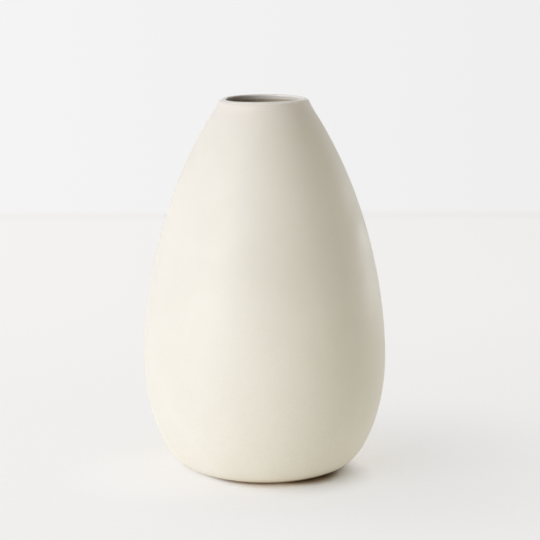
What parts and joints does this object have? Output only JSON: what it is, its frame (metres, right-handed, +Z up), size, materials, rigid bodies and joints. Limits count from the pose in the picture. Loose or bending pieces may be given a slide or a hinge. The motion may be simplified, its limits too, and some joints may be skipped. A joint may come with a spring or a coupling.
{
  "type": "bud vase",
  "caption": "Egg-shaped ceramic bud vase with a small round open mouth, satin glaze outside, liner glaze inside, and a bare foot ring standing on thin pads.",
  "frame": {"origin": "centre of the standing face, on the vase's axis, level with the undersides of the foot pads", "axes": "+Z up along the axis of the turned body, out of the mouth; +Y to the back, where the first foot pad is; +X to the right"},
  "size_m": [0.105, 0.105, 0.16],
  "materials": {
    "bare_stoneware": "unglazed fired buff stoneware, fine grain",
    "cream_glaze": "smooth satin-matte cream glaze",
    "liner_glaze": "smooth satin liner glaze",
    "soft_pad": "soft translucent grey elastomer"
  },
  "bodies": {
    "root": {"stoneware_body": "bare_stoneware", "outer_glaze": "cream_glaze", "liner_glaze": "liner_glaze", "foot_pad_1": "soft_pad", "foot_pad_2": "soft_pad", "foot_pad_3": "soft_pad"}
  },
  "joints": []
}
